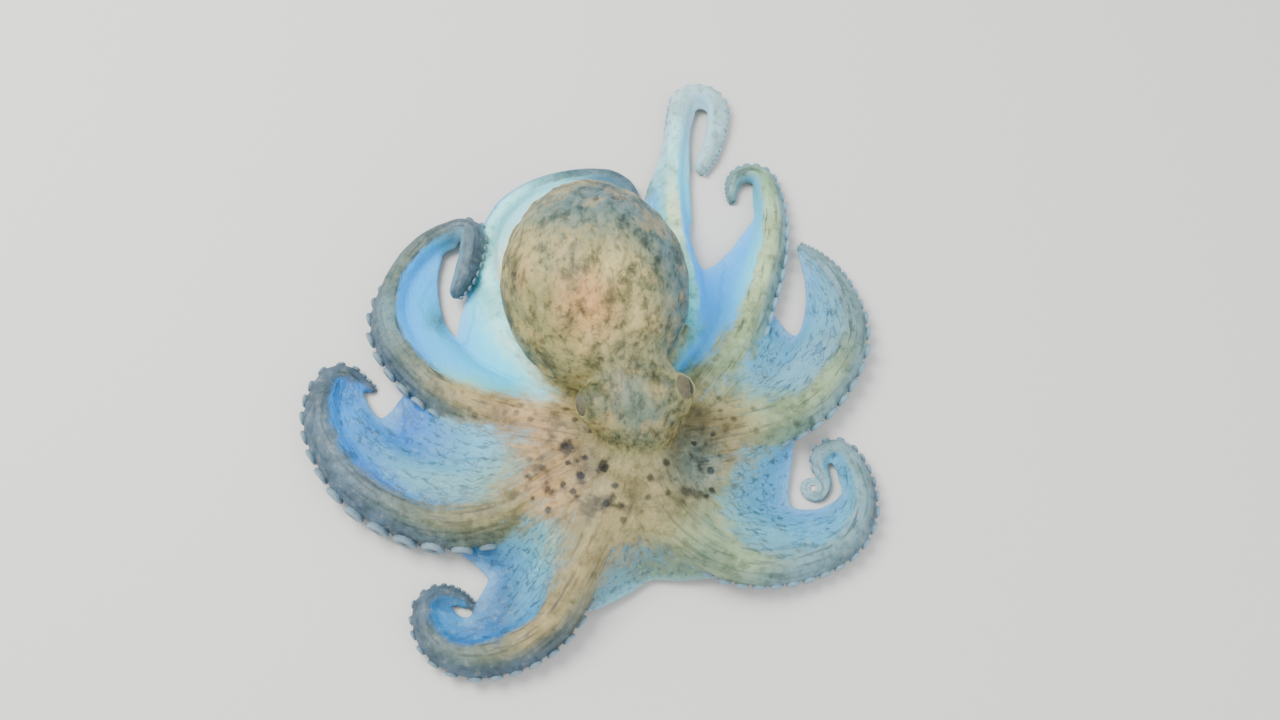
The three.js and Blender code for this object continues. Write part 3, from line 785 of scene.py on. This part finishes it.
def markSkin(piece):
    co = readCo(piece) / mm
    place = armPlaces(co)
    u, v, k, gap = webPlaces(co)
    s, off, who = place["s"], place["off"], place["who"]
    lateral = place["across"] / place["radius"]
    fromCrown = np.hypot(co[:, 0] - crown["x"], co[:, 1] - crown["y"])
    nearEye = eyeGap(co)
    body = np.maximum(1 - ease(bodyDepth(co), 1.03, 1.14), 1 - ease(nearEye, 12, 15))
    onArm = 1 - ease(off, 0.5, 4.5)

    back, inner, flank, webTone = (np.zeros((len(co), 3)) for i in range(4))
    spots, drawn, fleck = np.zeros(len(co)), np.zeros(len(co)), np.zeros(len(co))
    for i, name in enumerate(arms):
        mine = who == i
        paint = armPaint[name]
        back[mine] = paintTone(paint["back"], s[mine])
        inner[mine] = paintTone(paint["inner"], s[mine])
        flank[mine] = paintTone(paint["flank"], s[mine])
        spots[mine] = paint["spots"]
        drawn[mine] = paint["lines"]
    for i, paint in enumerate(webPaint):
        mine = k == i
        webTone[mine] = paintTone(paint["out"], u[mine])
        for end, tone in zip((0, 1), paint.get("beside", (None, None))):
            if tone:
                near = ease(np.abs(v[mine] - (1 - end)), 0.45, 1)[:, None]
                webTone[mine] = blendTo(webTone[mine], np.array(tones[tone]), near)
        fleck[mine] = paint["fleck"]

    armTone = blendTo(back, flank, (ease(lateral, 0.35, 0.95) * ease(s, 30, 90))[:, None])
    reached = np.where(place["across"] < 0, np.where(gap > 3, 30, 5), 5)
    webTone = blendTo(webTone, inner, (1 - ease(off, 0, reached))[:, None])
    beside = eggDepth(co * (1, 1, 0), {**mantle, "y": mantle["y"] + chalkHem["back"], "z": 0})
    r4 = who == list(arms).index("R4")
    rightSide = (r4 | (k == 3)) * (co[:, 0] < mantle["x"])
    hem = (1 - ease(beside, chalkHem["inner"], chalkHem["outer"])) * rightSide
    webTone = blendTo(webTone, np.array(tones["chalk"]), hem[:, None])

    bodyTone = np.tile(np.array(tones["bodyTan"], dtype=float), (len(co), 1))
    armTone = blendTo(armTone, bodyTone, body[:, None])
    for tone, spot, reach, strength in patches:
        far = np.linalg.norm(co - np.array(spot), axis=1)
        cover = (strength * np.exp(-(far / reach) ** 2 * 1.6))[:, None]
        armTone = blendTo(armTone, np.array(tones[tone]), cover)
        webTone = blendTo(webTone, np.array(tones[tone]), cover)
    under = ease(-readNormals(piece)[:, 2], 0.15, 0.7) * (1 - body)
    armTone = blendTo(armTone, np.array(tones["underside"]), 0.75 * under[:, None])
    webTone = blendTo(webTone, np.array(tones["underside"]), 0.6 * under[:, None])

    nearCrown = 1 - ease(fromCrown, 34, 76)
    nearCrown = nearCrown * blendTo(1, 0.3, ease(fromCrown, 30, 38) * np.isin(k, (3, 4, 5)) * (gap < 4))
    innerSide = ease(-lateral, 0.2, 0.85) * ease(s, 30, 85)
    onWeb = (1 - onArm) * (1 - ease(gap, 2, 4.5))
    blue = np.maximum(onWeb, innerSide) * (1 - nearCrown) * (1 - body)
    crownSpots = np.maximum(spots * (1 - ease(s, 60, 135)), nearCrown)
    for name, values, passes in (("armTone", armTone, 6), ("webTone", webTone, 8)):
        shades = [smoothed(piece, values[:, c], passes) for c in range(3)]
        storeVector(piece, name, toLinear(np.stack(shades, axis=-1)))
    soft = (1 - ease(fromCrown, 60, 125)) * blendTo(1, 0.35, np.isin(k, (3, 4, 5)))
    storeValue(piece, "blue", blendTo(smoothed(piece, blue, 10), smoothed(piece, blue, 90), soft))
    storeValue(piece, "body", smoothed(piece, body, 3))
    storeValue(piece, "fleck", smoothed(piece, fleck * (1 - body) * (1 - under), 12))
    for spot, reach in clusters:
        crownSpots = crownSpots + 1.6 * np.exp(-(np.linalg.norm(co - np.array(spot), axis=1) / reach) ** 2)
    storeValue(piece, "spots", smoothed(piece, crownSpots * (1 - body), 5))
    storeValue(piece, "drawn", smoothed(piece, drawn, 5))
    lined = drawn * np.exp(-((lateral + 0.35) / 0.45) ** 2) * ease(s, 30, 70)
    storeValue(piece, "lined", smoothed(piece, lined, 2))
    storeValue(piece, "rim", smoothed(piece, ease(u, 0.9, 1.0) * onWeb * (1 - body), 3))
    # the two flows run along each arm and out along each web, set apart from their neighbours
    armFlow = np.stack([s, place["across"] + 40 * who, place["high"] * 0.7], axis=-1)
    storeVector(piece, "armFlow", armFlow * mm)
    storeVector(piece, "webFlow", np.stack([u * 130, v * 80 + 200 * k, 0 * u], axis=-1) * mm)


markSkin(skin)
print("marked the skin")


# ---- materials

def newMaterial(name):
    material = bpy.data.materials.new(name)
    material.use_nodes = True
    tree = material.node_tree
    return material, tree, tree.nodes["Principled BSDF"]


def srgb(red, green, blue):
    return tuple(float(c) for c in toLinear((red, green, blue))) + (1,)


class Nodes:
    # short names for wiring a material
    def __init__(self, tree):
        self.tree = tree

    def add(self, kind, **settings):
        node = self.tree.nodes.new(kind)
        for key, value in settings.items():
            setattr(node, key, value)
        return node

    def link(self, out, into):
        if isinstance(out, (int, float, tuple)):
            into.default_value = out
        else:
            self.tree.links.new(out, into)

    def attribute(self, name, kind="Fac"):
        return self.add("ShaderNodeAttribute", attribute_name=name).outputs[kind]

    def math(self, operation, a, b=0.5):
        node = self.add("ShaderNodeMath", operation=operation)
        self.link(a, node.inputs[0])
        self.link(b, node.inputs[1])
        return node.outputs[0]

    def times(self, *factors):
        product = factors[0]
        for factor in factors[1:]:
            product = self.math("MULTIPLY", product, factor)
        return product

    def mix(self, fac, a, b, how="MIX"):
        node = self.add("ShaderNodeMix", data_type="RGBA", blend_type=how)
        self.link(fac, node.inputs[0])
        self.link(a, node.inputs[6])
        self.link(b, node.inputs[7])
        return node.outputs[2]

    def ramp(self, value, low, high, top=1.0, bottom=0.0):
        node = self.add("ShaderNodeMapRange", interpolation_type="SMOOTHSTEP")
        self.link(value, node.inputs["Value"])
        for key, number in (("From Min", low), ("From Max", high), ("To Min", bottom), ("To Max", top)):
            node.inputs[key].default_value = number
        return node.outputs["Result"]

    def stretched(self, vector, scale, turn=0):
        node = self.add("ShaderNodeMapping")
        self.link(vector, node.inputs["Vector"])
        node.inputs["Rotation"].default_value = (0, 0, math.radians(turn))
        node.inputs["Scale"].default_value = scale
        return node.outputs[0]

    def noise(self, vector, scale, detail=3, roughness=0.55):
        node = self.add("ShaderNodeTexNoise")
        self.link(vector, node.inputs["Vector"])
        node.inputs["Scale"].default_value = scale
        node.inputs["Detail"].default_value = detail
        node.inputs["Roughness"].default_value = roughness
        return node.outputs["Fac"]

    def voronoi(self, vector, scale, feature="F1"):
        node = self.add("ShaderNodeTexVoronoi", feature=feature)
        self.link(vector, node.inputs["Vector"])
        node.inputs["Scale"].default_value = scale
        return node.outputs["Distance"]

    def bump(self, height, strength, distance):
        node = self.add("ShaderNodeBump")
        node.inputs["Strength"].default_value = strength
        node.inputs["Distance"].default_value = distance
        self.link(height, node.inputs["Height"])
        return node.outputs["Normal"]


def skinMaterial():
    material, tree, shader = newMaterial("octopus skin")
    n = Nodes(tree)
    place = n.add("ShaderNodeTexCoord").outputs["Object"]
    armFlow = n.attribute("armFlow", "Vector")
    webFlow = n.attribute("webFlow", "Vector")
    body, fleck, spots = n.attribute("body"), n.attribute("fleck"), n.attribute("spots")
    blotch = n.noise(place, 55, 4)
    fine = n.noise(place, 210, 4, 0.6)
    notBody = n.math("SUBTRACT", 1.0, body)

    # arms and crown: blotched, with thin dark lines along the inner side and soft dots near the crown
    tan = n.attribute("armTone", "Color")
    tan = n.mix(n.times(n.ramp(blotch, 0.4, 0.62), notBody, 0.45), tan, srgb(158, 166, 144), "MULTIPLY")
    tan = n.mix(n.times(n.ramp(fine, 0.52, 0.72), notBody, 0.13), tan, srgb(214, 204, 164))
    tan = n.mix(n.times(n.ramp(fine, 0.48, 0.34), notBody, 0.4), tan, srgb(120, 128, 116), "MULTIPLY")
    streaks = n.noise(n.stretched(armFlow, (0.11, 1, 1)), 360, 4, 0.6)
    tan = n.mix(n.times(n.ramp(streaks, 0.5, 0.66), notBody, n.attribute("drawn"), 0.5), tan,
                srgb(112, 122, 116), "MULTIPLY")
    tan = n.mix(n.times(n.ramp(streaks, 0.54, 0.62), n.attribute("lined"), 0.7), tan, srgb(46, 62, 66))
    specks = n.noise(place, 300, 3, 0.6)
    clouds = n.noise(place, 88, 3, 0.5)
    tan = n.mix(n.times(n.ramp(clouds, 0.48, 0.72), spots, 0.55), tan, srgb(124, 122, 118), "MULTIPLY")
    dots = n.math("ADD", n.voronoi(n.stretched(place, (1, 1, 0.3)), 105), n.math("MULTIPLY", specks, 0.22))
    tan = n.mix(n.times(n.ramp(dots, 0.42, 0.22), spots, 0.62), tan, srgb(108, 110, 108), "MULTIPLY")

    # mantle and head: mottling drawn out lengthwise, with dark flecks between pale ones
    lengthwise = n.stretched(place, (1, 0.6, 1), -mantle["yaw"])
    grain = n.noise(lengthwise, 230, 5, 0.62)
    furrows = n.noise(n.stretched(place, (1, 0.3, 1), -mantle["yaw"]), 110, 3, 0.55)
    coarse = n.noise(n.stretched(place, (1, 0.8, 1), -mantle["yaw"]), 60, 5, 0.66)
    tan = n.mix(n.times(n.ramp(blotch, 0.49, 0.62), body, 0.3), tan, srgb(202, 168, 98))
    tan = n.mix(n.times(n.ramp(coarse, 0.46, 0.64), body, 0.85), tan, srgb(138, 154, 154), "MULTIPLY")
    tan = n.mix(n.times(n.ramp(furrows, 0.5, 0.7), body, 0.4), tan, srgb(168, 174, 166), "MULTIPLY")
    tan = n.mix(n.times(n.ramp(grain, 0.48, 0.7), body, 0.85), tan, srgb(86, 74, 38), "SCREEN")
    tan = n.mix(n.times(n.ramp(grain, 0.5, 0.34), body, 0.75), tan, srgb(146, 152, 144), "MULTIPLY")
    tan = n.mix(n.times(n.ramp(specks, 0.52, 0.7), n.ramp(coarse, 0.38, 0.62), body, 0.55), tan,
                srgb(120, 126, 118), "MULTIPLY")

    # webs: smooth blue, netted and flecked in places
    web = n.attribute("webTone", "Color")
    web = n.mix(n.ramp(n.noise(place, 26, 2), 0.35, 0.7, 0.25), web, srgb(64, 188, 252))
    net = n.ramp(n.voronoi(n.stretched(webFlow, (0.45, 1, 1)), 240, "DISTANCE_TO_EDGE"), 0.11, 0.02)
    web = n.mix(n.times(net, fleck, n.ramp(n.noise(place, 60, 3), 0.4, 0.62), 0.55), web, srgb(34, 78, 112))
    dabs = n.noise(n.stretched(webFlow, (0.4, 1, 1)), 330, 3, 0.6)
    web = n.mix(n.times(n.ramp(dabs, 0.53, 0.64), fleck, 0.7), web, srgb(36, 70, 88))
    web = n.mix(n.times(n.ramp(fine, 0.52, 0.7), fleck, 0.2), web, srgb(150, 190, 176))
    web = n.mix(n.times(n.attribute("rim"), 0.3), web, srgb(160, 216, 244))

    rough = n.noise(n.stretched(armFlow, (0.3, 1, 1)), 260, 5, 0.66)
    wander = n.math("MULTIPLY", n.math("SUBTRACT", rough, 0.5), 1.3)
    colour = n.mix(n.ramp(n.math("ADD", n.attribute("blue"), wander), 0.2, 0.8), tan, web)
    n.link(colour, shader.inputs["Base Color"])

    wrinkle = n.noise(n.stretched(armFlow, (0.4, 1, 1)), 420, 4, 0.6)
    pores = n.noise(place, 620, 3, 0.6)
    relief = n.math("ADD", n.math("MULTIPLY", wrinkle, 0.6), n.math("MULTIPLY", pores, 0.5))
    relief = n.math("ADD", relief, n.times(grain, body, 1.2))
    n.link(n.bump(relief, 0.6, 1.2 * mm), shader.inputs["Normal"])
    n.link(n.ramp(pores, 0.2, 0.8, 0.62, 0.42), shader.inputs["Roughness"])
    shader.inputs["Specular IOR Level"].default_value = 0.32
    shader.inputs["Subsurface Weight"].default_value = 0.15
    shader.inputs["Subsurface Radius"].default_value = (0.5, 0.6, 0.9)
    shader.inputs["Subsurface Scale"].default_value = 0.004
    shader.inputs["Coat Weight"].default_value = 0.06
    shader.inputs["Coat Roughness"].default_value = 0.3
    return material


skin.data.materials.clear()
skin.data.materials.append(skinMaterial())
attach(skin, "root")
fleshNodes = [name for name in frame["nodes"] if not name.startswith("eye_")]
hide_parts(*fleshNodes)


# ---- suckers

def makeSucker():
    # one cup on its stalk, of radius 1 and facing up
    bpy.ops.mesh.primitive_cylinder_add(vertices=suckers["sides"], radius=suckers["stalkRadius"],
                                        depth=suckers["stalk"], location=(0, 0, -suckers["stalk"] / 2))
    piece = bpy.context.object
    bpy.ops.object.transform_apply(location=True)
    editTop(piece)
    for rise, grow in suckers["rings"]:
        bpy.ops.mesh.extrude_region_move(TRANSFORM_OT_translate={"value": (0, 0, rise)})
        bpy.ops.transform.resize(value=(grow, grow, 1))
    bpy.ops.object.mode_set(mode="OBJECT")
    shape = readCo(piece)
    faces = [tuple(face.vertices) for face in piece.data.polygons]
    bpy.data.objects.remove(piece)
    return shape, faces


suckerCo, suckerFaces = makeSucker()
cupHeight = suckerCo[:, 2]
cupRim = np.hypot(suckerCo[:, 0], suckerCo[:, 1])


def makeSuckers(name):
    points, faces = [], []
    for centre, outward, forward, radius in suckerPlaces(name):
        spun = suckerCo * radius
        part = centre + np.outer(spun[:, 0], forward) + np.outer(spun[:, 1], np.cross(outward, forward))
        offset = len(points) * len(suckerCo)
        points.append(part + np.outer(spun[:, 2], outward))
        faces += [tuple(offset + i for i in face) for face in suckerFaces]
    co = np.concatenate(points) * mm
    co[:, 2] = np.maximum(co[:, 2], suckers["lowest"] * mm)
    mesh = bpy.data.meshes.new("suckers_" + name)
    mesh.from_pydata(co.tolist(), [], faces)
    mesh.shade_smooth()
    piece = bpy.data.objects.new("suckers_" + name, mesh)
    bpy.context.scene.collection.objects.link(piece)
    storeValue(piece, "lip", np.tile(ease(cupHeight, 0.2, 0.5) * ease(cupRim, 0.3, 0.7), len(points)))
    storeValue(piece, "pale", np.full(len(co), suckers["pale"].get(name, 0.0)))
    print("suckers on", name, len(points))
    return piece


def suckerMaterial():
    material, tree, shader = newMaterial("sucker skin")
    n = Nodes(tree)
    place = n.add("ShaderNodeTexCoord").outputs["Object"]
    tone = n.mix(n.ramp(n.noise(place, 90, 3), 0.35, 0.65), srgb(84, 108, 120), srgb(102, 124, 132))
    tone = n.mix(n.attribute("pale"), tone, srgb(126, 176, 196))
    tone = n.mix(n.times(n.attribute("lip"), 0.5), tone, srgb(148, 172, 182))
    n.link(tone, shader.inputs["Base Color"])
    n.link(n.bump(n.noise(place, 900, 2), 0.3, 0.5 * mm), shader.inputs["Normal"])
    n.link(n.ramp(n.noise(place, 500, 2), 0.2, 0.8, 0.6, 0.42), shader.inputs["Roughness"])
    shader.inputs["Specular IOR Level"].default_value = 0.35
    shader.inputs["Subsurface Weight"].default_value = 0.25
    shader.inputs["Subsurface Radius"].default_value = (0.6, 0.7, 1.0)
    shader.inputs["Subsurface Scale"].default_value = 0.003
    return material


suckerFinish = suckerMaterial()
for name in arms:
    piece = makeSuckers(name)
    piece.data.materials.append(suckerFinish)
    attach(piece, "root")


# ---- eyes

def makeEye(side, name):
    centre, look, level, up = eyeFrame(side)
    bpy.ops.mesh.primitive_uv_sphere_add(segments=64, ring_count=48)
    piece = bpy.context.object
    piece.name = name
    co = readCo(piece)
    a, b, c = co[:, 0] * eye["length"], co[:, 1] * eye["radius"], co[:, 2] * eye["radius"]
    point = np.outer(a, level) + np.outer(b, up) + np.outer(c, look) + np.array(centre)
    writeCo(piece, point * mm)
    storeValue(piece, "slitAlong", a * np.where(c > 0, 1, 9) * mm)
    storeValue(piece, "slitUp", b * mm)
    bpy.ops.object.mode_set(mode="EDIT")
    bpy.ops.mesh.select_all(action="SELECT")
    bpy.ops.mesh.normals_make_consistent(inside=False)
    bpy.ops.object.mode_set(mode="OBJECT")
    piece.data.shade_smooth()
    return piece


# half the slit's length and height and how far it lies below the middle, in millimetres
slitSizes = {"length": 4.6, "endFade": 0.6, "height": 1.1, "edgeFade": 0.3, "below": 3.0}


def eyeMaterial():
    material, tree, shader = newMaterial("eye")
    n = Nodes(tree)
    place = n.add("ShaderNodeTexCoord").outputs["Object"]
    a = n.math("ABSOLUTE", n.attribute("slitAlong"))
    b = n.math("ABSOLUTE", n.math("ADD", n.attribute("slitUp"), slitSizes["below"] * mm))
    iris = n.mix(n.ramp(n.noise(place, 500, 4), 0.35, 0.65), srgb(94, 86, 54), srgb(70, 66, 44))
    iris = n.mix(n.ramp(n.attribute("slitUp"), -0.001, 0.004, 0.7), iris, srgb(82, 76, 56))
    long, high = slitSizes["length"] * mm, slitSizes["height"] * mm
    slit = n.times(n.ramp(a, long, long - slitSizes["endFade"] * mm),
                   n.ramp(b, high, high - slitSizes["edgeFade"] * mm))
    colour = n.mix(slit, iris, srgb(14, 12, 12))
    n.link(colour, shader.inputs["Base Color"])
    n.link(n.ramp(n.noise(place, 300, 2), 0.2, 0.8, 0.58, 0.44), shader.inputs["Roughness"])
    shader.inputs["Coat Weight"].default_value = 0.12
    shader.inputs["Coat Roughness"].default_value = 0.12
    return material


eyeFinish = eyeMaterial()
for side, name in ((1, "eye_left"), (-1, "eye_right")):
    piece = makeEye(side, "eyeball_" + name.split("_")[1])
    piece.data.materials.append(eyeFinish)
    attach(piece, "root")
    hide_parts(name)
print("made the eyes")


# ---- floor, light and camera

view = {"lens": 40, "sensor": 36, "elevation": 65, "distance": 830, "target": (30.3, -15, 30)}
light = {"key": 34, "keyPlace": (-0.7, 0.3, 1.3), "keySize": 0.9,
         "fill": 12.5, "fillPlace": (1.2, -0.8, 1.0), "fillSize": 1.6,
         "sky": 1.15, "skyTone": (0.9, 0.93, 1.0, 1), "floorSize": 8}


def makeFloor():
    bpy.ops.mesh.primitive_plane_add(size=light["floorSize"], location=(0, 0, 0))
    piece = bpy.context.object
    piece.name = "floor"
    material, tree, shader = newMaterial("pale floor")
    shader.inputs["Base Color"].default_value = srgb(214, 212, 206)
    shader.inputs["Roughness"].default_value = 0.8
    piece.data.materials.append(material)


def addLamp(name, place, size, power):
    lampData = bpy.data.lights.new(name, "AREA")
    lampData.size = size
    lampData.energy = power
    lamp = bpy.data.objects.new(name, lampData)
    lamp.location = place
    lamp.rotation_euler = (-Vector(place)).to_track_quat("-Z", "Y").to_euler()
    bpy.context.scene.collection.objects.link(lamp)


makeFloor()
for lampName in ("key", "fill"):
    addLamp(lampName, light[lampName + "Place"], light[lampName + "Size"], light[lampName])
world = bpy.data.worlds.new("studio")
world.use_nodes = True
sky = world.node_tree.nodes["Background"]
sky.inputs["Color"].default_value = light["skyTone"]
sky.inputs["Strength"].default_value = light["sky"]
bpy.context.scene.world = world

camera = bpy.data.objects.new("camera", bpy.data.cameras.new("camera"))
camera.data.lens = view["lens"]
camera.data.sensor_width = view["sensor"]
tilt = math.radians(view["elevation"])
target = Vector(view["target"]) * mm
camera.location = target + Vector((0, -math.cos(tilt), math.sin(tilt))) * view["distance"] * mm
camera.rotation_euler = (target - camera.location).to_track_quat("-Z", "Y").to_euler()
bpy.context.scene.collection.objects.link(camera)
bpy.context.scene.camera = camera
print("set the floor, lights and camera")
